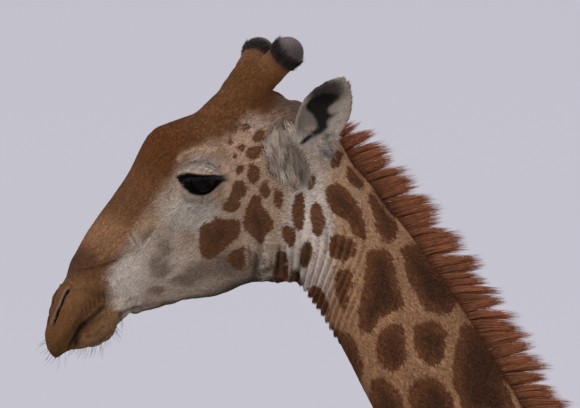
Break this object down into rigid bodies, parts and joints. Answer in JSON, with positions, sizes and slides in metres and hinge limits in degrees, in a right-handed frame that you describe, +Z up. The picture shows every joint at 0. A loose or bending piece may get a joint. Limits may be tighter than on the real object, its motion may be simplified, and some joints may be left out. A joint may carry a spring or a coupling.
{
  "type": "giraffe",
  "caption": "Still life-size bull giraffe, standing with its head up and turned slightly left: patched coat, upright mane, blunt horns, cupped ears, cloven hooves and a brush-ended tail.",
  "frame": {"origin": "on the ground, at the middle of the base of the whole animal's bounding box", "axes": "+Z up, -Y the way the body faces, +X to the animal's left"},
  "size_m": [0.8341, 3.3431, 4.6042],
  "materials": {
    "hide": "short flat coat: brown patches on a pale tan net, matt",
    "horn_skin": "hair-covered horn, its knob worn bare and dark",
    "ear_skin": "pale grey hair, matt",
    "eye": "wet and dark",
    "mane_hair": "stiff red-brown hair",
    "tail_hair": "long black hair",
    "hoof": "dark worn horn"
  },
  "bodies": {
    "root": {"head": "hide", "neck_upper": "hide", "neck_lower": "hide", "trunk": "hide", "tail": "hide", "leg_fore_left_upper": "hide", "leg_fore_left_lower": "hide", "hoof_fore_left_outer": "hoof", "hoof_fore_left_inner": "hoof", "leg_fore_right_upper": "hide", "leg_fore_right_lower": "hide", "hoof_fore_right_outer": "hoof", "hoof_fore_right_inner": "hoof", "leg_hind_left_upper": "hide", "leg_hind_left_lower": "hide", "hoof_hind_left_outer": "hoof", "hoof_hind_left_inner": "hoof", "leg_hind_right_upper": "hide", "leg_hind_right_lower": "hide", "hoof_hind_right_outer": "hoof", "hoof_hind_right_inner": "hoof", "ossicone_left": "horn_skin", "ear_left": "ear_skin", "eye_left": "eye", "ossicone_right": "horn_skin", "ear_right": "ear_skin", "eye_right": "eye", "mane": "mane_hair", "tail_brush": "tail_hair"}
  },
  "joints": []
}
